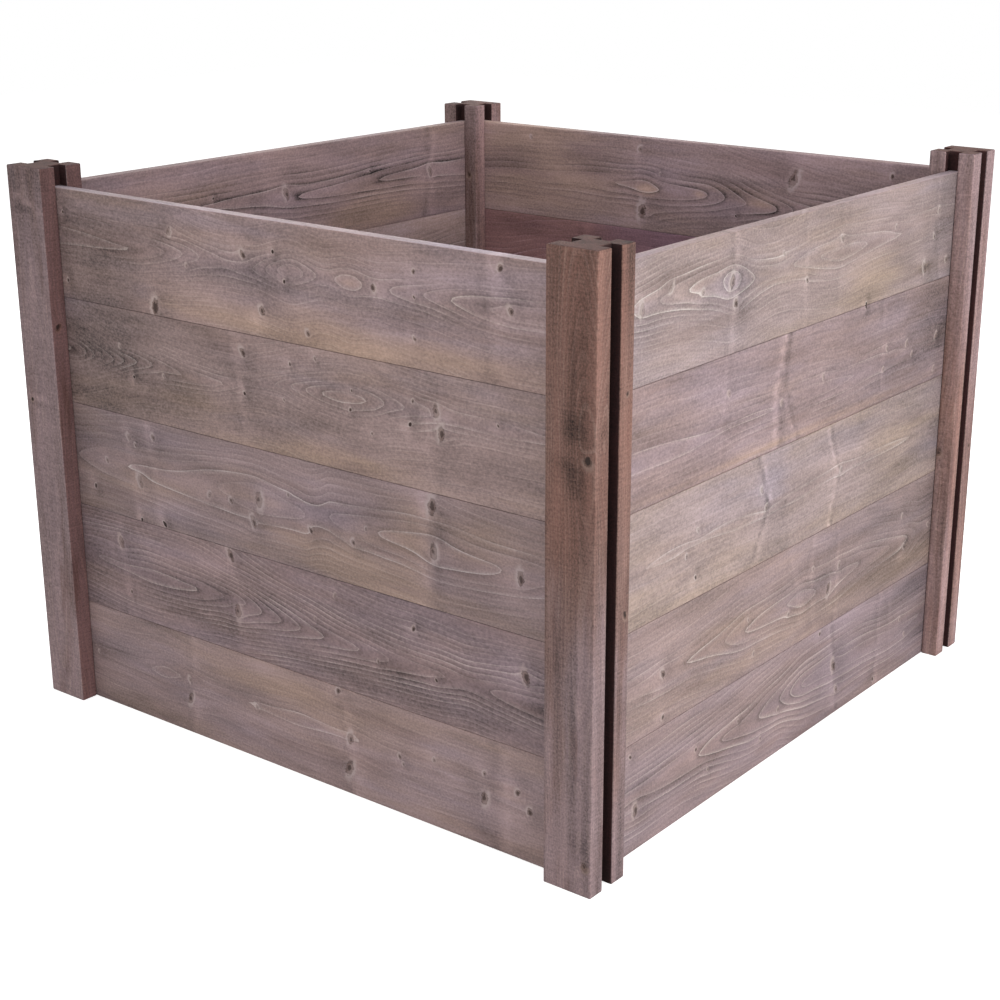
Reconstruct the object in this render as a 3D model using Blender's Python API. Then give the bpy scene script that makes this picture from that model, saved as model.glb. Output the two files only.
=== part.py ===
# Modular wooden compost bin, in metres, +Z up.
# Four grooved corner posts hold four walls of boards, which drop into the grooves one on another.
# The origin is on the ground, at the middle of the bin. Front is -Y and right is +X.
import math

import bmesh
import bpy
from mathutils import Matrix, Vector

# Driving dimensions
bin_width = 0.990          # over the posts, along X
bin_depth = 0.990          # over the posts, along Y
post_size = 0.070          # square section of a corner post
post_rise = 0.028          # how far a post stands above the top board
post_arris = 0.0015        # rounding of a post's sawn edges
groove_depth = 0.015       # board groove in a post
board_thickness = 0.019
board_cover = 0.150        # height that one board adds to a wall
boards_per_wall = 5
board_arris = 0.0010       # rounding of a board's planed edges
tongue_thickness = 0.006
tongue_height = 0.006
tongue_lead = 0.0010       # chamfer that leads a tongue into its groove

# Clearances
side_clearance = 0.0005    # board face to groove wall
end_clearance = 0.0005     # board end to groove floor
stack_gap = 0.0003         # shoulder to shoulder between two boards
tongue_clearance = 0.0003  # tongue to the groove above it, at its sides
tongue_top_clearance = 0.0007
ground_gap = 0.0003        # lowest board to the ground

# Bevel finish
arris_segments = 2
weld_distance = 0.00001
flat_angle = math.radians(1.0)

# Derived sizes
groove_width = board_thickness + 2 * side_clearance
post_height = boards_per_wall * board_cover + post_rise
post_centre_x = (bin_width - post_size) / 2
post_centre_y = (bin_depth - post_size) / 2
groove_reach = groove_depth - end_clearance
front_board_length = bin_width - 2 * post_size + 2 * groove_reach
side_board_length = bin_depth - 2 * post_size + 2 * groove_reach


def clear_scene():
    for obj in list(bpy.data.objects):
        bpy.data.objects.remove(obj, do_unlink=True)


def new_collection(name):
    collection = bpy.data.collections.new(name)
    bpy.context.scene.collection.children.link(collection)
    return collection


def srgb_to_linear(channel):
    if channel <= 0.04045:
        return channel / 12.92
    return ((channel + 0.055) / 1.055) ** 2.4


def new_wood(name, red, green, blue, roughness):
    """Principled wood finish from an sRGB colour in the range 0 to 255."""
    material = bpy.data.materials.new(name)
    material.use_nodes = True
    shader = material.node_tree.nodes["Principled BSDF"]
    colour = [srgb_to_linear(value / 255) for value in (red, green, blue)]
    shader.inputs["Base Color"].default_value = (*colour, 1.0)
    shader.inputs["Roughness"].default_value = roughness
    shader.inputs["Metallic"].default_value = 0.0
    material.diffuse_color = (*colour, 1.0)
    return material


def extrude_outline(name, points, length):
    """Extrude a closed flat outline along local Z, centred, and return it as a welded mesh."""
    curve = bpy.data.curves.new(name + "_outline", "CURVE")
    curve.dimensions = "2D"
    curve.fill_mode = "BOTH"
    curve.extrude = length / 2
    spline = curve.splines.new("POLY")
    spline.points.add(len(points) - 1)
    for point, (x, y) in zip(spline.points, points):
        point.co = (x, y, 0.0, 1.0)
    spline.use_cyclic_u = True
    holder = bpy.data.objects.new(name + "_outline", curve)
    bpy.context.scene.collection.objects.link(holder)
    evaluated = holder.evaluated_get(bpy.context.evaluated_depsgraph_get())
    mesh = bpy.data.meshes.new_from_object(evaluated)
    bpy.data.objects.remove(holder, do_unlink=True)
    mesh.name = name
    body = bmesh.new()
    body.from_mesh(mesh)
    bmesh.ops.remove_doubles(body, verts=body.verts, dist=weld_distance)
    bmesh.ops.dissolve_limit(body, angle_limit=flat_angle, verts=body.verts, edges=body.edges)
    bmesh.ops.recalc_face_normals(body, faces=body.faces)
    body.to_mesh(mesh)
    body.free()
    return mesh


def round_edges(mesh, chosen, width):
    """Bevel the edges for which chosen(edge) is true."""
    body = bmesh.new()
    body.from_mesh(mesh)
    body.normal_update()
    edges = [edge for edge in body.edges if chosen(edge)]
    bmesh.ops.bevel(body, geom=edges, offset=width, offset_type="OFFSET", affect="EDGES",
                    segments=arris_segments, profile=0.5, clamp_overlap=True, material=-1)
    body.to_mesh(mesh)
    body.free()


def finish_mesh(mesh, material):
    mesh.materials.append(material)
    mesh.shade_smooth()
    mesh.set_sharp_from_angle(angle=math.radians(30))


def post_outline():
    """Section of the front left post: a groove in each X face and one in the face towards the bin."""
    half = post_size / 2
    lip = groove_width / 2
    floor = half - groove_depth
    right_side = [(half, -half), (half, -lip), (floor, -lip), (floor, lip), (half, lip), (half, half)]
    back_groove = [(lip, half), (lip, floor), (-lip, floor), (-lip, half)]
    left_side = [(-x, y) for x, y in reversed(right_side)]
    return right_side + back_groove + left_side


def make_post_mesh(material):
    """Post standing on its origin, with every outward corner of the sawn section eased."""
    mesh = extrude_outline("corner_post", post_outline(), post_height)
    mesh.transform(Matrix.Translation((0.0, 0.0, post_height / 2)))
    round_edges(mesh, lambda edge: edge.is_convex and edge.calc_face_angle(0.0) > flat_angle, post_arris)
    finish_mesh(mesh, material)
    return mesh


def board_outline(has_tongue):
    """Board section, thickness along x and height along y, from its lower edge at zero.

    Each board has a groove in its lower edge. Its upper edge has a tongue, or is planed flat.
    """
    half = board_thickness / 2
    shoulder = board_cover - stack_gap
    slot = tongue_thickness / 2 + tongue_clearance
    slot_top = tongue_height + tongue_top_clearance
    lower = [(-half, 0.0), (-slot, 0.0), (-slot, slot_top), (slot, slot_top), (slot, 0.0), (half, 0.0)]
    upper = [(half, shoulder)]
    if has_tongue:
        tongue = tongue_thickness / 2
        crest = shoulder + tongue_height
        upper += [(tongue, shoulder), (tongue, crest - tongue_lead), (tongue - tongue_lead, crest),
                  (tongue_lead - tongue, crest), (-tongue, crest - tongue_lead), (-tongue, shoulder)]
    upper.append((-half, shoulder))
    return lower + upper


def is_outer_arris(edge):
    """Long outer corners of a board, and the upright corners at its ends."""
    half = board_thickness / 2
    on_face = all(abs(abs(vertex.co.y) - half) < weld_distance for vertex in edge.verts)
    same_side = edge.verts[0].co.y * edge.verts[1].co.y > 0
    return on_face and same_side


def make_board_mesh(name, length, has_tongue, material):
    """Board lying along local X, its lower edge on the origin and its thickness along Y."""
    mesh = extrude_outline(name, board_outline(has_tongue), length)
    # Section x becomes Y, section y becomes Z, and the extrusion runs along X.
    mesh.transform(Matrix(((0, 0, 1, 0), (1, 0, 0, 0), (0, 1, 0, 0), (0, 0, 0, 1))))
    round_edges(mesh, is_outer_arris, board_arris)
    finish_mesh(mesh, material)
    return mesh


def add_posts(collection, material):
    """The four posts are one pattern: the back pair is the front pair turned half round."""
    mesh = make_post_mesh(material)
    for depth_name, y_side in (("front", -1), ("back", 1)):
        for width_name, x_side in (("left", -1), ("right", 1)):
            post = bpy.data.objects.new(f"post_{depth_name}_{width_name}", mesh)
            post.location = (x_side * post_centre_x, y_side * post_centre_y, 0.0)
            post.rotation_euler.z = 0.0 if y_side < 0 else math.pi
            collection.objects.link(post)


def add_wall(collection, name, centre, turn, lower_mesh, top_mesh):
    """One wall: an empty on the ground at its centre line carries its boards."""
    wall = bpy.data.objects.new(name + "_wall", None)
    wall.location = centre
    wall.rotation_euler.z = turn
    collection.objects.link(wall)
    for index in range(boards_per_wall):
        is_top = index == boards_per_wall - 1
        board = bpy.data.objects.new(f"{name}_board_{index + 1}", top_mesh if is_top else lower_mesh)
        board.parent = wall
        board.location = (0.0, 0.0, ground_gap + index * board_cover)
        collection.objects.link(board)


def add_walls(collection, material):
    front_lower = make_board_mesh("long_board", front_board_length, True, material)
    front_top = make_board_mesh("long_top_board", front_board_length, False, material)
    side_lower = make_board_mesh("side_board", side_board_length, True, material)
    side_top = make_board_mesh("side_top_board", side_board_length, False, material)
    quarter = math.pi / 2
    add_wall(collection, "front", Vector((0, -post_centre_y, 0)), 0.0, front_lower, front_top)
    add_wall(collection, "back", Vector((0, post_centre_y, 0)), 0.0, front_lower, front_top)
    add_wall(collection, "right", Vector((post_centre_x, 0, 0)), quarter, side_lower, side_top)
    add_wall(collection, "left", Vector((-post_centre_x, 0, 0)), quarter, side_lower, side_top)


def main():
    clear_scene()
    collection = new_collection("modular_wooden_compost_bin")
    post_wood = new_wood("rough sawn stained softwood", 112, 98, 90, 0.85)
    board_wood = new_wood("planed stained softwood", 146, 136, 130, 0.75)
    add_posts(collection, post_wood)
    add_walls(collection, board_wood)
    bpy.context.view_layer.update()


main()
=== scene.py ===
# Modular wooden compost bin: the finish of its stained softwood posts and boards.
import bmesh
import bpy
import math
import numpy as np
from mathutils import Matrix, Vector


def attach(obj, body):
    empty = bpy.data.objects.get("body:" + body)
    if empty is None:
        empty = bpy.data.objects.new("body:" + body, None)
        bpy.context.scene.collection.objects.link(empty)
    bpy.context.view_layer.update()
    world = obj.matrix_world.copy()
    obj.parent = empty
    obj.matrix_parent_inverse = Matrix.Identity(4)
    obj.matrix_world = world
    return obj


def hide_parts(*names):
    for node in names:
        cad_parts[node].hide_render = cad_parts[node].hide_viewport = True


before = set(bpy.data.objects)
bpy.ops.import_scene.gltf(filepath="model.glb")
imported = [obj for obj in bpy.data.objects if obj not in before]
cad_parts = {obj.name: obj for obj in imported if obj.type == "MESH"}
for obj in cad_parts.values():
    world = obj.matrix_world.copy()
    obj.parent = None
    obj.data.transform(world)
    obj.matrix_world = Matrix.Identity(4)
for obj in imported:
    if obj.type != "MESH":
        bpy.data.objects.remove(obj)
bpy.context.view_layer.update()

mm = 0.001
facing = 0.7  # a face looks along an axis if its normal has more than this along it


def srgb(text):
    values = [int(text[i:i + 2], 16) / 255 for i in (1, 3, 5)]
    return (*[v / 12.92 if v <= 0.04045 else ((v + 0.055) / 1.055) ** 2.4 for v in values], 1.0)


def add(tree, kind, inputs=None, **settings):
    # one node with its settings, and for each socket either a link or a value
    made = tree.nodes.new("ShaderNode" + kind)
    for name, value in settings.items():
        setattr(made, name, value)
    for socket, value in (inputs or {}).items():
        if isinstance(value, bpy.types.NodeSocket):
            tree.links.new(value, made.inputs[socket])
        else:
            made.inputs[socket].default_value = value
    return made


# Camera, floor and light

cameraView = {
    "place": (1.6221, -2.0727, 1.1519),  # metres
    "turn": 37.070,    # degrees from +Y towards -X
    "down": 18.929,    # degrees below level
    "roll": 0.276,
    "focal": 1856.4,   # in pixels of a picture 1000 wide
    "axisPixel": (548.25, 512.2),
}

lighting = {
    "skyStrength": 0.49,  # of the light on the bin; the camera sees it at 1, which is white
    "key": {"place": (3.3, -0.65, 1.2), "size": 1.1, "power": 64.0},
    "fill": {"place": (1.2, -3.6, 1.8), "size": 2.2, "power": 24.0},
    "top": {"place": (0.0, 0.0, 6.0), "size": 3.6, "power": 165.0},
    "rear": {"place": (-2.6, 2.9, 1.5), "size": 2.2, "power": 34.0},
    "aimHeight": 0.4,    # of the point that every lamp faces
    "floorSize": 14.0,
    "floorLift": 0.6,    # glow that only the camera sees, so that the floor is white
}


def addCamera(view):
    camera = bpy.data.objects.new("photoCamera", bpy.data.cameras.new("photoCamera"))
    camera.data.sensor_width = 36.0
    camera.data.lens = view["focal"] * 36.0 / 1000
    camera.data.shift_x = (500 - view["axisPixel"][0]) / 1000
    camera.data.shift_y = (view["axisPixel"][1] - 500) / 1000
    turn, down, roll = (math.radians(view[name]) for name in ("turn", "down", "roll"))
    aim = (Matrix.Rotation(turn, 4, "Z") @ Matrix.Rotation(math.pi / 2 - down, 4, "X")
           @ Matrix.Rotation(roll, 4, "Z"))
    camera.matrix_world = Matrix.Translation(view["place"]) @ aim
    bpy.context.scene.collection.objects.link(camera)
    bpy.context.scene.camera = camera


def addLamp(name, aimHeight, place, size, power):
    lamp = bpy.data.lights.new(name, "AREA")
    lamp.shape = "DISK"
    lamp.size = size
    lamp.energy = power
    holder = bpy.data.objects.new(name, lamp)
    holder.location = place
    aim = Vector((0, 0, aimHeight)) - Vector(place)
    holder.rotation_euler = aim.to_track_quat("-Z", "Y").to_euler()
    bpy.context.scene.collection.objects.link(holder)


def addStudio(setup):
    bpy.context.scene.view_settings.view_transform = "Standard"
    world = bpy.context.scene.world or bpy.data.worlds.new("studio")
    bpy.context.scene.world = world
    world.use_nodes = True
    tree = world.node_tree
    tree.nodes.clear()
    path = add(tree, "LightPath")
    shown = add(tree, "Math", {0: path.outputs["Is Camera Ray"], 1: path.outputs["Is Glossy Ray"]},
                operation="MAXIMUM")
    strength = add(tree, "MapRange", {0: shown.outputs[0], 3: setup["skyStrength"], 4: 1.0})
    sky = add(tree, "Background", {"Color": (1, 1, 1, 1), "Strength": strength.outputs[0]})
    add(tree, "OutputWorld", {"Surface": sky.outputs[0]})
    for name in ("key", "fill", "top", "rear"):
        addLamp(name + "Lamp", setup["aimHeight"], **setup[name])
    half = setup["floorSize"] / 2
    body = bmesh.new()
    bmesh.ops.create_grid(body, x_segments=1, y_segments=1, size=half)
    mesh = bpy.data.meshes.new("paleFloor")
    body.to_mesh(mesh)
    body.free()
    floor = bpy.data.objects.new("paleFloor", mesh)
    bpy.context.scene.collection.objects.link(floor)
    paper = bpy.data.materials.new("whitePaperSweep")  # matte white, keeps only a soft shadow
    paper.use_nodes = True
    tree = paper.node_tree
    tree.nodes.clear()
    matte = add(tree, "BsdfDiffuse", {"Color": srgb("#f4f4f4")})
    path = add(tree, "LightPath")
    lift = add(tree, "Math", {0: path.outputs["Is Camera Ray"], 1: setup["floorLift"]},
               operation="MULTIPLY")
    glow = add(tree, "Emission", {"Color": (1, 1, 1, 1), "Strength": lift.outputs[0]})
    both = add(tree, "AddShader", {0: matte.outputs[0], 1: glow.outputs[0]})
    add(tree, "OutputMaterial", {"Surface": both.outputs[0]})
    mesh.materials.append(paper)


# Softwood: the colours and the fine pattern are nodes. The growth rings, the streaks by the knots
# and each knot's place are attributes of the mesh, worked out below from the figure of its piece.

boardFinish = {  # planed spruce under a thin grey brown stain: pale late rings, blotchy take-up
    "ground": "#947e7b",
    "warm": "#977f72",
    "grey": "#917f84",
    "dark": "#806a66",
    "knotWood": "#6c544c",
    "knotLine": "#2a1a16",
    "knotRim": "#bba9a4",
    "ringEnd": "#c4b6b0",
    "ringPale": 0.50,      # how much of that colour the end of a ring takes
    "ringDark": 0.19,      # how much darker the start of the next
    "blotch": 0.36,        # contrast of the uneven take-up of stain
    "fibre": 0.12,         # of the fibres
    "grain": 0.14,         # of the fine lines along the rings
    "grit": 0.32,          # of the stain's grit
    "gritSize": (3.5, 2.6),  # mm along and across the grain, about the least that a photo shows
    "sawMarks": 0.0,       # planed away
    "roughness": 0.72,
    "bumpDepth": 0.22,     # mm
    "knotShape": (1.2, 0.0, 1.0),  # how near it is along the board, into it and up it
}
postFinish = {  # rough sawn spruce under the same stain: it soaks in, so it is browner and darker
    "ground": "#7b5f58",
    "warm": "#7a584e",
    "grey": "#857173",
    "dark": "#573d37",
    "knotWood": "#5a423a",
    "knotLine": "#1e1512",
    "knotRim": "#8f776d",
    "ringEnd": "#a08a80",
    "ringPale": 0.20,
    "ringDark": 0.10,
    "blotch": 0.18,
    "fibre": 0.12,
    "grain": 0.10,
    "grit": 0.46,
    "gritSize": (3.2, 2.4),
    "sawMarks": 0.15,
    "roughness": 0.85,
    "bumpDepth": 0.5,
    "knotShape": (0.8, 1.0, 1.0),  # up the post, and across it both ways
}

woodPattern = {  # spots are in mm along and across the grain; a fade is from none to full
    "warmSpots": (320, 50),
    "warmFade": (-0.05, 0.18),
    "greySpots": (260, 45),
    "greyFade": (-0.05, 0.20),
    "darkSpots": (200, 30),
    "darkFade": (0.50, 0.72),
    "darkShare": 0.6,
    "spotHue": 0.5,              # how far the spots take the colour
    "placedHue": 0.3,            # and how far the placed patches do
    "placedTone": 0.28,          # how much lighter or darker the placed marks are, painted light and shade among them
    "paleLine": (0.2, 2.0, 0.7),  # mm before a ring's end, full and gone, and how pale
    "paleRun": (0.0, 7.0, 0.3),  # the same of the fainter pale wood before that line
    "darkRun": (0.0, 6.0),       # mm past a ring's start, full and gone
    "duskDark": 1.6,             # how much more of it there is where the lines show dark
    "mostPale": 0.75,            # a pale line never covers the wood wholly
    "fibreSpots": (55, 2.6),
    "unevenSpots": (170, 40),
    "grainLines": (11.0, 3.0),   # fine lines to each metre along the grain and to each ring
    "grainFade": (0.25, 0.6),    # of the pale lines, which they break up
    "sawSpots": (1.8, 30),       # the saw ran across the grain
    "sawFade": (0.35, 0.65),
}
knotLook = {  # distances are in the knot's radii
    "raggedSpots": (6, 6),       # mm
    "ragged": 1.3,               # how far its edge strays
    "sideFade": (-0.002, 0.004),  # metres from its pale side to its other side
    "rim": (1.0, 2.1),           # the pale rim, full and gone
    "rimShare": 0.65,
    "ownRings": 13.0,            # how close the rings of its own wood are
    "disk": (0.7, 1.1),          # its own wood, full and gone
    "lineAt": 0.9,               # the dark line round it
    "lineSharp": 4.0,
    "fibreFade": (0.35, 0.6),    # of that line, which the fibres break up
    "heartFade": 0.35,           # of the dark heart
    "lean": 0.35,                # how far the knots lean, each its own way
    "leanMiddle": 0.15,          # and about what
    "bigRadius": 5.5,            # mm, from which a knot in a board is taller than it is wide
    "bigSqueeze": 0.68,
    "smallSqueeze": 0.95,
}


def makeSoftwood(name, finish):
    material = bpy.data.materials.new(name)
    material.use_nodes = True
    tree = material.node_tree
    tree.nodes.clear()

    def field(name, output="Vector"):
        return add(tree, "Attribute", attribute_name=name).outputs[output]

    def parts(value):
        return add(tree, "SeparateXYZ", {0: value}).outputs

    def stretched(spots, detail, shift=0.0):
        # noise in spots of the given length and width; the shift sets it apart from the others
        scale = (1000 / spots[0], 1000 / spots[1], 1000 / spots[1])
        mapped = add(tree, "Mapping", {"Vector": place, "Scale": scale,
                                       "Location": (shift, shift, shift)})
        return add(tree, "TexNoise", {"Vector": mapped.outputs[0], "Scale": 1.0, "Detail": detail,
                                      "Roughness": 0.55}).outputs["Fac"]

    def between(value, low, high, toLow=0.0, toHigh=1.0):
        return add(tree, "MapRange", {0: value, 1: low, 2: high, 3: toLow, 4: toHigh},
                   interpolation_type="SMOOTHSTEP").outputs[0]

    def fading(value, full, gone, share=1.0):
        return between(value, full, gone, share, 0.0)

    def calc(operation, first, second=0.0, third=0.0):
        return add(tree, "Math", {0: first, 1: second, 2: third}, operation=operation).outputs[0]

    def mixed(factor, first, second):
        return add(tree, "Mix", {0: factor, 6: first, 7: second}, data_type="RGBA").outputs[2]

    def scaled(value, factor):
        return add(tree, "VectorMath", {0: value, 3: factor}, operation="SCALE").outputs[0]

    def spread(value, size):
        # noise turned to a tone about zero
        return calc("MULTIPLY", calc("SUBTRACT", value, 0.5), size)

    pattern, knot = woodPattern, knotLook
    place = field("grainPlace")
    bandTone, figureTone, greyTone = parts(field("tones"))
    faceTone = field("faceTone")

    # blotches of stain, warm, lilac grey and dark, from noise and from the placed patches; some placed
    # hues are painted shade
    spots = spread(stretched(pattern["warmSpots"], 3.0), pattern["spotHue"])
    warmth = calc("MULTIPLY_ADD", greyTone, -pattern["placedHue"], spots)
    fade = between(warmth, *pattern["warmFade"])
    colour = mixed(fade, srgb(finish["ground"]), srgb(finish["warm"]))
    spots = spread(stretched(pattern["greySpots"], 3.0, 5.3), pattern["spotHue"])
    greyness = calc("MULTIPLY_ADD", greyTone, pattern["placedHue"], spots)
    colour = mixed(between(greyness, *pattern["greyFade"]), colour, srgb(finish["grey"]))
    spots = stretched(pattern["darkSpots"], 4.0, 11.7)
    soaked = between(spots, *pattern["darkFade"], 0.0, pattern["darkShare"])
    colour = mixed(soaked, colour, srgb(finish["dark"]))

    # growth rings: each ends in a pale line, and the next starts darker
    phase = field("ringPhase", "Fac")
    ring = calc("FRACT", phase)
    which = add(tree, "TexWhiteNoise", {"W": calc("FLOOR", phase)}, noise_dimensions="1D")
    perMm = field("ringSlope", "Fac")
    since = calc("DIVIDE", ring, perMm)  # mm from the ring's start
    left = calc("DIVIDE", calc("SUBTRACT", 1.0, ring), perMm)  # mm to its end
    pale = calc("ADD", fading(left, *pattern["paleLine"]), fading(left, *pattern["paleRun"]))
    dusk = field("ringDusk", "Fac")  # more of the dark and less of the pale
    share = finish["ringPale"]
    share = calc("MULTIPLY_ADD", which.outputs["Value"], share, share * 0.4)  # of each ring its own
    pale = calc("MULTIPLY", calc("MULTIPLY", pale, calc("SUBTRACT", 1.0, dusk)), share)
    dark = calc("MULTIPLY", fading(since, *pattern["darkRun"]), finish["ringDark"])
    dark = calc("MULTIPLY", dark, figureTone)
    rings = calc("MULTIPLY", dark, calc("MULTIPLY_ADD", dusk, pattern["duskDark"], 1.0))

    # uneven take-up, fibres, the grit of the stain, fine lines along the rings and saw marks
    fibre = stretched(pattern["fibreSpots"], 4.0, 2.1)
    grit = stretched(finish["gritSize"], 2.0, 8.8)
    uneven = spread(stretched(pattern["unevenSpots"], 5.0, 17.9), finish["blotch"] * 3)
    perMetre, perRing = pattern["grainLines"]
    lineSpot = add(tree, "CombineXYZ", {0: calc("MULTIPLY", parts(place)[0], perMetre),
                                        1: calc("MULTIPLY", phase, perRing)}).outputs[0]
    grain = add(tree, "TexNoise", {"Vector": lineSpot, "Scale": 1.0, "Detail": 2.0}).outputs["Fac"]
    total = calc("ADD", spread(fibre, finish["fibre"] * 3), spread(grit, finish["grit"] * 3))
    total = calc("ADD", total, spread(grain, finish["grain"] * 3))
    total = calc("ADD", total, uneven)
    height = calc("ADD", calc("MULTIPLY", fibre, 0.5), calc("MULTIPLY", grit, 0.4))
    if finish["sawMarks"]:
        marks = between(stretched(pattern["sawSpots"], 3.0, 3.3), *pattern["sawFade"])
        total = calc("ADD", total, spread(marks, finish["sawMarks"]))
        height = calc("ADD", height, calc("MULTIPLY", marks, 0.5))
    # the placed light and dark marks, painted light and shade among them
    placed = calc("MULTIPLY_ADD", bandTone, pattern["placedTone"], 1.0)
    total = calc("ADD", calc("SUBTRACT", total, rings), placed)
    broken = between(grain, *pattern["grainFade"], 0.5, 1.1)
    pale = calc("MULTIPLY", calc("MULTIPLY", pale, figureTone), broken)
    colour = mixed(calc("MINIMUM", pale, pattern["mostPale"]), colour, srgb(finish["ringEnd"]))
    colour = scaled(colour, total)

    # the nearest knot: its own wood, a dark line round it, a dark shake in it and a pale rim
    radius, darkness, tilt = parts(field("knotForm"))
    away = add(tree, "VectorMath", {0: place, 1: field("knotSpot")}, operation="SUBTRACT").outputs[0]
    away = add(tree, "VectorMath", {0: away, 1: finish["knotShape"]}, operation="MULTIPLY").outputs[0]
    awayX, awayY, awayZ = parts(away)
    squeeze = field("knotHeight", "Fac")  # negative if the knot's pale side is to the right
    awayZ = calc("MULTIPLY", awayZ, squeeze)
    awayX = calc("MULTIPLY_ADD", awayZ, tilt, awayX)
    away = add(tree, "CombineXYZ", {0: awayX, 1: awayY, 2: awayZ}).outputs[0]
    away = add(tree, "VectorMath", {0: away}, operation="LENGTH").outputs["Value"]
    ragged = spread(stretched(knot["raggedSpots"], 3.0, 6.6), knot["ragged"])
    away = calc("ADD", calc("DIVIDE", away, radius), ragged)  # 1 at the edge of the knot
    side = calc("MULTIPLY_ADD", awayZ, -0.6, calc("MULTIPLY", awayX, calc("SIGN", squeeze)))
    side = between(side, *knot["sideFade"], 1.0, 0.2)
    rim = calc("MULTIPLY", fading(away, *knot["rim"]), calc("MULTIPLY", side, knot["rimShare"]))
    colour = mixed(rim, colour, srgb(finish["knotRim"]))
    ownRings = calc("SINE", calc("MULTIPLY", away, knot["ownRings"]))
    ownRings = between(ownRings, -1.0, 1.0, 0.8, 1.1)
    knotWood = scaled(srgb(finish["knotWood"])[:3], ownRings)
    disk = calc("MULTIPLY", fading(away, *knot["disk"]), calc("MULTIPLY_ADD", darkness, 0.9, 0.05))
    colour = mixed(disk, colour, knotWood)
    line = calc("ABSOLUTE", calc("SUBTRACT", away, knot["lineAt"]))
    line = calc("SUBTRACT", 1.0, calc("MULTIPLY", line, knot["lineSharp"]))
    broken = between(fibre, *knot["fibreFade"])
    broken = calc("MULTIPLY", broken, calc("MULTIPLY_ADD", side, -0.7, 1.3))  # more on the dark side
    strength = calc("MULTIPLY_ADD", darkness, 0.7, 0.2)
    line = calc("MULTIPLY", calc("MAXIMUM", line, 0.0), calc("MULTIPLY", strength, broken))
    reach = calc("MULTIPLY_ADD", side, -0.3, calc("MULTIPLY", radius, -30.0))  # least in big knots
    reach = calc("MULTIPLY_ADD", darkness, 1.15, reach)
    heart = fading(calc("SUBTRACT", away, reach), 0.0, knot["heartFade"])
    heart = calc("MULTIPLY", heart, calc("POWER", darkness, 0.6))
    deep = calc("MINIMUM", calc("MAXIMUM", line, heart), 1.0)
    colour = mixed(deep, colour, srgb(finish["knotLine"]))
    height = calc("SUBTRACT", height, calc("MULTIPLY", deep, 1.5))

    # the face's own tone: end grain, and painted light and shade on some faces
    colour = add(tree, "VectorMath", {0: colour, 1: faceTone}, operation="MULTIPLY").outputs[0]
    bump = add(tree, "Bump", {"Height": height, "Strength": 0.8, "Distance": finish["bumpDepth"] * mm})
    rough = calc("MULTIPLY_ADD", fibre, 0.12, finish["roughness"] - 0.06)
    shader = add(tree, "BsdfPrincipled", {"Base Color": colour, "Roughness": rough, "IOR": 1.46,
                                          "Specular IOR Level": 0.35, "Normal": bump.outputs[0]})
    add(tree, "OutputMaterial", {"Surface": shader.outputs[0]})
    return material


# Boards. Lengths are in millimetres: x along the board from its middle, z up from its lower edge.
# tone: how much lighter the board is than its finish
# tips: (x, z, 1 or -1) of the arches that the rings draw, pointing to +x or to -x
# strength: (x, contrast of the rings there)
# knots: (x, z, size, darkness), with darkness below 0 if its pale side is to the right
# streaks: (x at top, middle and foot, width, strength), with width below 0 if it is dark to the right
# patches: (x, z, half width, half height, light above 0 or dark below, grey above 0 or warm below); the
# broad dark ones over a whole end of a board are painted shade

boardStock = {
    "cover": 150.0,        # height that each board adds to its wall, and that of the top one
    "thickness": 19.0,
    "halfLength": 440.0,
    "wallMiddle": 460.0,   # from the middle of the bin
    "foot": 0.3,           # gap below the lowest board
    "grid": 4.0,           # mesh cell
    "gridThrough": 5.0,    # mesh cell through the thickness
    "ringWidth": 7.5,
    "pithDepth": 12.0,     # of the tree's middle behind the face
    "figureHeight": 28.0,  # how far from the arch line the rings show strongly
    "farRings": 0.18,      # their contrast beyond that
    "lineWander": 3.0,     # how far the arch line strays
    "wanderSpots": (300, 400),
    "ringWaver": 0.15,     # how unevenly the rings run, in rings
    "waverSpots": (180, 60),
    "streakSway": 2.0,     # how far a streak strays
    "swaySpots": (30, 30),
    "streakSpots": (30, 16),
    "sideSize": (1.5, 2.2),  # of the light and dark sides of a knot, in its sizes
    "toneUneven": 0.35,    # of the rings' contrast
    "toneSpots": (120, 50),
    "knotReach": 1.7,      # how much further the grain swings round a knot along it than across
    "hue": 0.0,            # grey above 0, warm below
    "dusk": 0.0,           # share of ring lines that show dark instead of pale
    "tint": (1.0, 1.0, 1.0),         # of the face towards local -y, the side in view: its own tint, and painted light and shade on the right and inner back walls
    "paintedEdgeLight": (0.92, 0.90, 0.92),  # painted light and shade of the top edge, lighter or darker as light from above falls on it
    "endTint": (0.60, 0.58, 0.56),   # of the ends, which soak up more stain
}

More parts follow.
